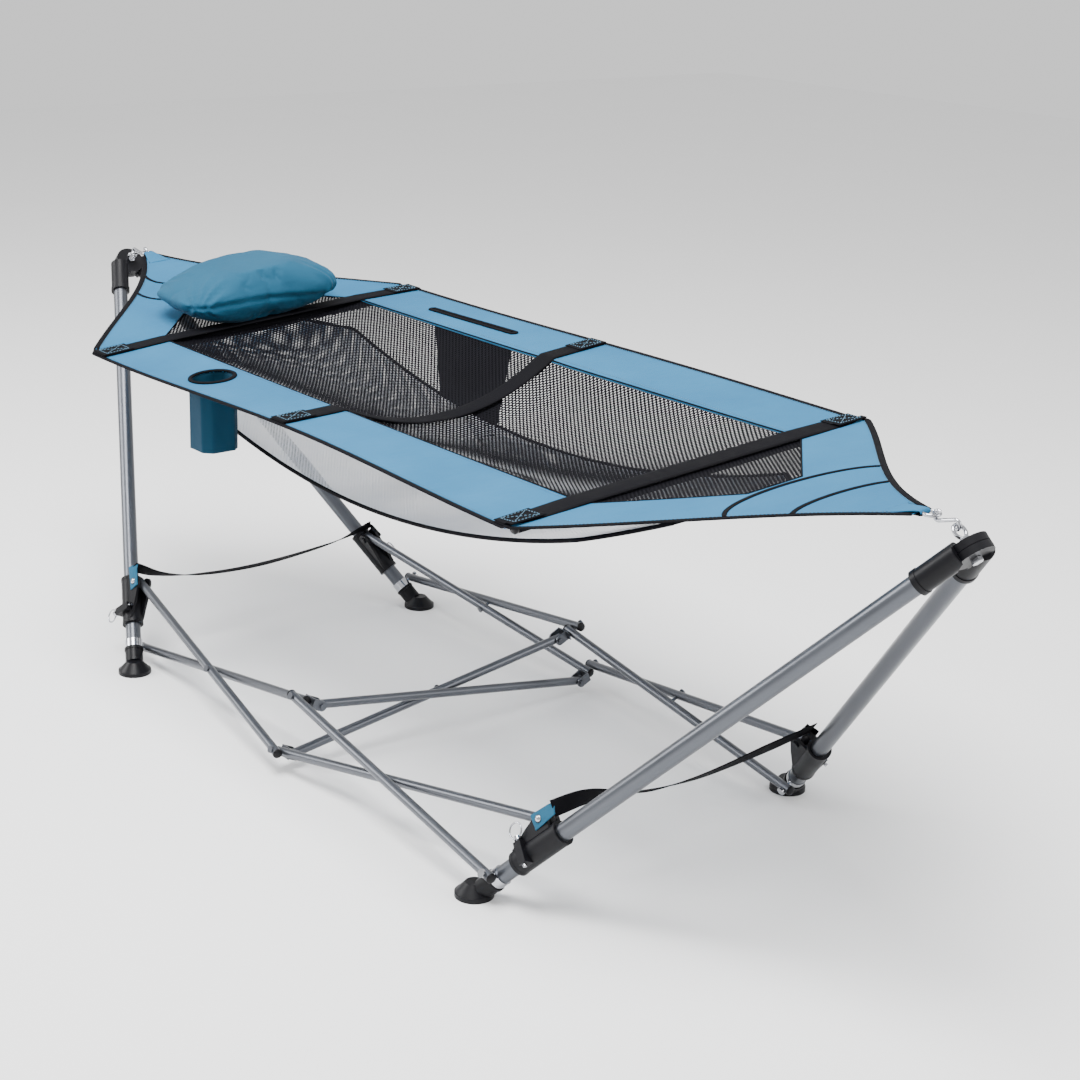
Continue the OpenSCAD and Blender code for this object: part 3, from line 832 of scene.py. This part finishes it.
lip = np.vstack([np.linspace(lip[i], lip[(i + 1) % 6], 14, endpoint=False) for i in range(6)])
bind("pocket_lip", on_bed(lip[:, 0], lip[:, 1], 0.0022), 0.0038, 0.0022, closed=True)
print("pocket", round(0.242 * 1000), "mm deep at most")

# %% [markdown]
# The storage net is a white sling under the bed. It hangs from the two end straps in a long curve, with a
# black elastic cord in each of its long edges, so the edges are drawn up a little and the middle hangs
# lowest.

# %% Storage net
NET_HALF, NET_HEAD, NET_FOOT = 0.204, -0.690, 0.700


def sling(x, y):
    """Height of the net: a parabola along the bed, a little lower along the middle, and always clear under
    the mesh."""
    x, y = np.asarray(x, float), np.asarray(y, float)
    arc = (-0.160 + 0.270 * x ** 2 - 0.010 * (1 - (np.abs(y) / NET_HALF) ** 2)
           + 0.003 * np.sin(7 * x + 2) * np.cos(9 * y))
    mesh_h = height(x, y) - 0.012
    return np.minimum(arc, mesh_h)


xs = np.linspace(NET_HEAD, NET_FOOT, 170)[:, None]
ys = NET_HALF * np.linspace(-1, 1, 56)[None]
draw = np.clip(1 - 0.93 * (np.abs(xs) - 0.602) / NET_HALF, 0.3, 1)
ys = ys * draw
p = rolled(xs + 0 * ys, ys, sling(xs, ys))
obj = cloth("net_sheet", p, 0.0006, flip=True)
obj.data.materials.append(NET)
hung(obj, "storage_net", slot="white_net", flat=(0.50, 1.40), area=area_of(p))
print("net", round(area_of(p), 3), "m2")
for tag, far in (("near", -1), ("far", 1)):
    xl = np.linspace(NET_HEAD, NET_FOOT, 150)
    yl = far * NET_HALF * np.clip(1 - 0.93 * (np.abs(xl) - 0.602) / NET_HALF, 0.3, 1)
    obj = tube(f"net_cord_{tag}", rolled(xl, yl, sling(xl, yl)), 0.0034, 8)
    obj.data.materials.append(WEB)
    hung(obj, slot="webbing")
for tag, at in (("head", NET_HEAD), ("foot", NET_FOOT)):
    yl = np.linspace(-1, 1, 40) * NET_HALF * (1 - 0.93 * (abs(at) - 0.602) / NET_HALF)
    obj = tube(f"net_hem_{tag}", rolled(at + 0 * yl, yl, sling(at, yl)), 0.0030, 8, up=(0, 0, 1))
    obj.data.materials.append(WEB)
    hung(obj, slot="webbing")

# %% [markdown]
# The pillow is a loose canvas case over fibre fill. It starts as a rounded block with a crowned top, is
# remeshed to an even grid, and a short cloth run under inner pressure lets it swell. Its folds, pleat and
# seam are then worked into its surface.

# %% Pillow
LX, LY, LH = 0.108, 0.182, 0.078
u = np.linspace(0, 2 * np.pi, 96, endpoint=False)[None]
v = np.linspace(-0.5 * np.pi, 0.5 * np.pi, 48)[:, None]


def rounded(t, e):
    """A power of sine or cosine that keeps its sign: low powers make a squarer form."""
    return np.sign(t) * np.abs(t) ** e


cx = rounded(np.cos(v), 0.55) * rounded(np.cos(u), 0.62)
cy = rounded(np.cos(v), 0.55) * rounded(np.sin(u), 0.62)
cz = rounded(np.sin(v), 0.9) + 0 * u
pinch = 1 - 0.10 * (1 - np.abs(cy) ** 2) * np.abs(cx) ** 3 - 0.07 * (1 - np.abs(cx) ** 2) * np.abs(cy) ** 3
px, py = LX * cx * pinch, LY * cy * pinch
crown = 1 - 0.30 * (np.abs(cy) ** 2.4)
pz = LH * 0.5 * (cz * crown + 1)
turn = math.radians(4.6)
qx, qz = px * math.cos(turn) + pz * math.sin(turn), -px * math.sin(turn) + pz * math.cos(turn)
base = rolled(-0.652 + qx, py + 0.004, 0.0130 + qz)
pillow = surface("pillow_case", base, wrap_v=True, ends=True, flip=True)


def swell(obj, voxel=0.0055, cap=0.012, frames=20, pressure=4.0):
    """Remesh to an even grid, run Cloth under pressure with no gravity, and keep each point within cap of
    its start."""
    bpy.context.view_layer.objects.active = obj
    m = obj.modifiers.new("even", "REMESH")
    m.mode, m.voxel_size = "VOXEL", voxel
    bpy.ops.object.modifier_apply(modifier="even")
    n = len(obj.data.vertices)
    start = np.empty(n * 3)
    obj.data.vertices.foreach_get("co", start)
    start = start.reshape(-1, 3)
    c = obj.modifiers.new("fill", "CLOTH")
    c.settings.use_pressure = True
    c.settings.uniform_pressure_force = pressure
    c.settings.quality = 6
    c.settings.tension_stiffness = c.settings.compression_stiffness = 12
    c.settings.bending_stiffness = 0.35
    c.settings.effector_weights.gravity = 0.0
    c.collision_settings.use_collision = False
    c.point_cache.frame_start, c.point_cache.frame_end = 1, frames
    for k in range(1, frames + 1):
        bpy.context.scene.frame_set(k)
    dg = bpy.context.evaluated_depsgraph_get()
    got = obj.evaluated_get(dg).to_mesh()
    end = np.empty(n * 3)
    got.vertices.foreach_get("co", end)
    end = end.reshape(-1, 3)
    obj.evaluated_get(dg).to_mesh_clear()
    obj.modifiers.remove(c)
    bpy.context.scene.frame_set(1)
    move = end - start
    far_ = np.linalg.norm(move, axis=1, keepdims=True)
    move = move * np.minimum(1, cap / np.maximum(far_, 1e-9))
    obj.data.vertices.foreach_set("co", (start + move).ravel())
    obj.data.update()
    return float(np.minimum(far_, cap).max())


print("pillow swelled by up to", round(swell(pillow) * 1000, 1), "mm")


def creases(p):
    """Wrinkles of a loose case. Sharp folds fan out from the four corners as ridged waves whose phase is
    the angle about the corner. A deep pleat crosses the middle of the front, and a sewn seam runs along the
    front and both ends."""
    x, y, h = p[:, 0] + 0.652, p[:, 1] - 0.004, p[:, 2] - BED_Z
    out = 0 * x
    for cx_, cy_, count in ((0.095, -0.165, 17), (0.095, 0.165, 19),
                            (-0.095, -0.160, 15), (-0.095, 0.160, 13)):
        far_ = np.hypot(x - cx_, y - cy_)
        angle = np.arctan2(y - cy_, x - cx_)
        ridge = 1 - 2 * np.abs(np.sin(0.5 * count * angle + 22 * far_))
        out += 0.0030 * ridge * np.exp(-((far_ - 0.035) / 0.045) ** 2)
    long_fold = 1 - 2 * np.abs(np.sin(30 * x + 5 * y + 2.2 * np.sin(11 * y) + 0.5))
    out += 0.0016 * long_fold * np.exp(-((x + 0.01) / 0.08) ** 2) * np.exp(-((np.abs(y) - 0.10) / 0.06) ** 2)
    out += 0.0026 * np.sin(17 * y + 1.1) * np.exp(-((x - 0.075) / 0.04) ** 2)
    out += 0.0016 * np.sin(21 * y - 16 * x + 0.6) + 0.0012 * np.sin(13 * x + 31 * y + 40 * h)
    out -= 0.0070 * np.exp(-((y + 0.004 - 0.15 * (x - 0.09)) / 0.0075) ** 2 - ((x - 0.108) / 0.030) ** 2)
    seam = h - (0.034 + 0.010 * np.cos(9 * y))
    edge_near = np.clip((x - 0.02) / 0.04, 0, 1)
    out -= 0.0042 * np.exp(-(seam / 0.0042) ** 2) * edge_near
    out += 0.0016 * np.exp(-((seam - 0.008) / 0.005) ** 2) * edge_near
    return out


n = len(pillow.data.vertices)
co, no = np.empty(n * 3), np.empty(n * 3)
pillow.data.vertices.foreach_get("co", co)
pillow.data.vertices.foreach_get("normal", no)
co, no = co.reshape(-1, 3), no.reshape(-1, 3)
above_base = np.clip((co[:, 2] - 0.636) / 0.012, 0, 1)
co = co + no * (creases(co) * above_base)[:, None]
pillow.data.vertices.foreach_set("co", co.ravel())
pillow.data.update()
pillow.data.polygons.foreach_set("use_smooth", np.ones(len(pillow.data.polygons), bool))
sub = pillow.modifiers.new("finer", "SUBSURF")
sub.levels = sub.render_levels = 1
pillow.data.materials.append(PILLOW)
hung(pillow, "pillow", slot="pillow_fabric")
print("pillow", len(pillow.data.vertices), "points")

# %% [markdown]
# Places on a slider or a brace are easiest in the stand's own leaning sides: a distance along the side,
# one up it and one out of it, or, by a leg, a distance beside the leg, up it and out.

# %% Leaning sides and legs
FOOT_X, FOOT_Y, LEAN, PLANE = 0.5366, 0.3226, math.radians(40.2), math.radians(64.92)


def side_frame(x, s, n, far):
    """A point of the near side's leaning plane (x along it, s up it, n out of it), or of the far side's,
    which is the near side turned half round."""
    x, s, n = np.broadcast_arrays(x, s, n)
    y = -FOOT_Y + s * math.cos(PLANE) - n * math.sin(PLANE)
    z = s * math.sin(PLANE) + n * math.cos(PLANE)
    return np.stack([-x, -y, z] if far else [x, y, z], -1)


def leg_frame(k, beside, up, out):
    """A point by leg k: beside the leg toward the stand's middle, up the leg and out of the side."""
    x = -FOOT_X + beside * math.cos(LEAN) - up * math.sin(LEAN)
    s = beside * math.sin(LEAN) + up * math.cos(LEAN)
    return side_frame(-x if k % 2 else x, s, out, k > 1)


print("a point by leg a", leg_frame(0, 0.03, 0.17, 0.02).round(3))

# %% [markdown]
# The straps between the legs of each end are flat webbing, slack and a little twisted. They run from the
# patch on one slider to the patch on the other, so they ride on the first slider.

# %% End straps
def twist_ribbon(path, wide, turn):
    """Webbing along a path: its width stands square to the path and turns about it by the angle turn at
    each point."""
    path = np.asarray(path, float)
    t = unit(np.gradient(path, axis=0))
    n = unit(np.cross(t, np.broadcast_to([0.0, 0.0, 1.0], t.shape)))
    b = np.cross(n, t)
    w = n * np.cos(turn)[:, None] + b * np.sin(turn)[:, None]
    v = np.linspace(-0.5, 0.5, 6)[None, :, None] * wide
    return path[:, None] + w[:, None] * v


for end, sign, body, node, near, far, way, turns in (
    ("head", -1, "slider_a", "end_strap_head", 0, 3,
     ((-0.205, 0.139), (-0.118, 0.122), (0.017, 0.117), (0.181, 0.131)),
     (0.30, 0.16, 0.05, 0.04, 0.10, 0.30)),
    ("foot", 1, "slider_b", "end_strap_foot", 1, 2,
     ((-0.205, 0.172), (-0.110, 0.153), (0.013, 0.146), (0.160, 0.158)),
     (0.70, 0.46, 0.08, 0.24, 0.34, 0.30)),
):
    first, last = leg_frame(near, 0.0315, 0.203, 0.0185), leg_frame(far, 0.0315, 0.192, 0.0185)
    between = [(sign * 0.650, y_, z_) for y_, z_ in way]
    run = smooth_path(np.array([first, *between, last]), 120)
    turn = np.pi * np.interp(run[:, 1], [first[1], *[w[0] for w in way], last[1]], turns)
    turn = np.convolve(np.pad(turn, 6, mode="edge"), np.ones(13) / 13, "valid")
    obj = cloth(f"leg_strap_{end}", twist_ribbon(run, 0.025, turn), 0.0014)
    obj.data.materials.append(WEB)
    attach(obj, body)
    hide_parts(node)
    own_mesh(obj)
print("leg straps hung")

# %% [markdown]
# Each strap ends in a small canvas patch, folded over the slider's outer ear and held by the pivot bolt:
# blue on the near side, black on the far side.

# %% Strap patches on the sliders
for k, body in enumerate(("slider_a", "slider_b", "slider_c", "slider_d")):
    u = np.linspace(-1, 1, 14)[:, None]
    v = np.linspace(0, 1, 22)[None]
    up = 0.160 + (0.034 if k > 1 else 0.046) * v
    beside = 0.0315 + 0.0125 * u * (1 - 0.15 * v)
    out = (0.0172 + 0.0012 * np.sin(2.1 * u + 3 * v)
           - 0.0035 * np.clip(v - 0.75, 0, 1) * 4 * (0.5 + 0.5 * u) + 0.0018 * v)
    p = leg_frame(k, beside, up + 0 * u, out)
    obj = cloth(f"slider_patch_{k}", p, 0.0014, flip=bool(k % 2))
    obj.data.materials.append(WEB if k > 1 else BLUE_DARK)
    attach(obj, body)
    centre = leg_frame(k, 0.0317, 0.1729, 0.0181)
    axis = unit(leg_frame(k, 0.0317, 0.1729, 0.03) - leg_frame(k, 0.0317, 0.1729, 0.02))
    head = turned(f"patch_rivet_{k}", centre, axis,
                  [(0.0008, 0), (0.0058, 0), (0.0058, 0.0018), (0.0044, 0.0034),
                   (0.0018, 0.0042), (0.0002, 0.0043)], 24)
    head.data.materials.append(PLATE)
    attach(head, body)
print("patches on", 4, "sliders")

# %% [markdown]
# The ends of the thin braces are closed with pushed-in black plugs, each a low dome turned about its
# brace.

# %% Brace plugs
TOP_S, LOW_S, N_IN, N_OUT, N_RING = 0.1245, 0.0300, 0.018, 0.035, 0.0265
UP, LOW = (0.6240, 0.1525), (0.5736, 0.0438)
BRACES = {
    1: ((-UP[0], UP[1], 0.0), (0, LOW_S, N_OUT), 0.0075, 0.0110, False),
    2: ((-LOW[0], LOW[1], -N_RING), (0, TOP_S, N_IN), 0.0110, 0.0110, False),
    3: ((0, TOP_S, N_OUT), (LOW[0], LOW[1], N_RING), 0.0110, 0.0110, False),
    4: ((0, LOW_S, N_IN), (UP[0], UP[1], 0.0), 0.0110, 0.0075, False),
}
BRACES.update({k + 4: b[:4] + (True,) for k, b in BRACES.items()})
for k, (p0, p1, e0, e1, far) in BRACES.items():
    ends = side_frame(*np.array([p0, p1], float).T, far)
    t = unit(ends[1] - ends[0])
    for tag, at, way in (("a", ends[0] - t * e0, -t), ("b", ends[1] + t * e1, t)):
        profile = [(0.0005, -0.0006), (0.0081, -0.0006), (0.0083, 0.0006), (0.0080, 0.0022),
                   (0.0060, 0.0034), (0.0025, 0.0040), (0.0003, 0.0041)]
        plug = turned(f"brace_plug_{k}{tag}", at, way, profile, 28)
        plug.data.materials.append(BLACK)
        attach(plug, f"brace_{k}")
print(2 * len(BRACES), "plugs")

# %% [markdown]
# Two light bars in black sleeves hold the bed open under the end straps, and a welded ring closes each
# tip. The imported bars and the foot end's ring are hidden, and the same shapes are made again here as
# pieces of the bed: a bar is a circle carried along a line with a plug in each end, and the ring is a
# circle carried round a circle.

# %% Spreader bars and foot ring
for end, at, node in (("head", HEAD, "spreader_head"), ("foot", FOOT, "spreader_foot")):
    low, high = (np.array(c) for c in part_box(node))
    xm = (low[0] + high[0]) / 2
    half = (high[1] - low[1]) / 2 / math.cos(TILT)
    y = np.linspace(-half + 0.004, half - 0.004, 24)
    drop_h = ((low[2] + high[2]) / 2 - BED_Z) / math.cos(TILT)
    bar = tube(f"spreader_bar_{end}", rolled(xm + 0 * y, y, drop_h + 0 * y), 0.0079, 24)
    bar.data.materials.append(WEB)
    hung(bar, node, slot="webbing")
    for far in (-1, 1):
        mouth, inner_ = rolled(xm, far * (half - 0.0045), drop_h), rolled(xm, far * (half - 0.02), drop_h)
        plug = turned(f"spreader_plug_{end}_{'near' if far < 0 else 'far'}", mouth, mouth - inner_,
                      [(0.0005, -0.003), (0.0080, -0.003), (0.0082, 0.0008),
                       (0.0066, 0.0030), (0.0003, 0.0038)], 28)
        plug.data.materials.append(BLACK)
        hung(plug, slot="black_plastic")
low, high = (np.array(c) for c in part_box("bed_ring_foot"))
centre, spread = (low + high) / 2, (high - low) / 2
around = np.linspace(0, 2 * np.pi, 48, endpoint=False)
wire_r = float(min(spread))
flat_axis = int(np.argmin(spread))
axes = [k for k in range(3) if k != flat_axis]
ring_path = np.tile(centre, (48, 1))
ring_path[:, axes[0]] += (spread[axes[0]] - wire_r) * np.cos(around)
ring_path[:, axes[1]] += (spread[axes[1]] - wire_r) * np.sin(around)
up = np.zeros(3)
up[flat_axis] = 1.0
ring = tube("foot_ring", ring_path, wire_r, 16, closed=True, up=tuple(up))
ring.data.materials.append(PLATE)
hung(ring, "bed_ring_foot", slot="chrome")
print("bars", round(2 * half, 3), "m long, ring wire", round(wire_r * 2000, 1), "mm")

# %% [markdown]
# Every bed piece gets a mesh of its own.

# %% Each bed piece gets its own mesh
for obj in BED_PIECES:
    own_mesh(obj)
print(len(BED_PIECES), "pieces of the bed")

# %% [markdown]
# A pale floor and soft lights: one wide panel overhead, one to each side, and a bright pale surround.

# %% Floor and light
floor_grid = np.stack(np.meshgrid(np.linspace(-9, 9, 3), np.linspace(-9, 9, 3), indexing="ij")
                      + [np.zeros((3, 3))], -1)
floor = surface("floor", floor_grid)
f = Finish("pale_floor", roughness=0.9, specular_ior_level=0.1)
f.set(base_color=f.mix(f.noise(2.0), (0.92, 0.92, 0.92), (0.94, 0.94, 0.94)))
floor.data.materials.append(f.mat)


def area_light(name, at, aim, size, power):
    """A square soft light at one point, facing another."""
    data = bpy.data.lights.new(name, "AREA")
    data.size, data.energy = size, power
    obj = bpy.data.objects.new(name, data)
    bpy.context.scene.collection.objects.link(obj)
    z = unit(np.asarray(at, float) - np.asarray(aim, float))
    x = unit(np.cross([0.0, 1.0, 0.02], z))
    y = np.cross(z, x)
    obj.matrix_world = Matrix([list(r) + [p] for r, p in zip(np.array([x, y, z]).T, at)] + [[0, 0, 0, 1]])


area_light("overhead", (0.2, -0.9, 3.9), (0, 0, 0.4), 2.4, 330)
area_light("left", (-3.2, -3.0, 2.4), (0, 0, 0.4), 2.0, 130)
area_light("right", (3.6, 2.2, 2.2), (0, 0, 0.4), 2.0, 60)
world = bpy.data.worlds.new("surround")
world.use_nodes = True
world.node_tree.nodes["Background"].inputs[0].default_value = (1.0, 1.0, 1.0, 1.0)
world.node_tree.nodes["Background"].inputs[1].default_value = 0.95
bpy.context.scene.world = world
print("lit")
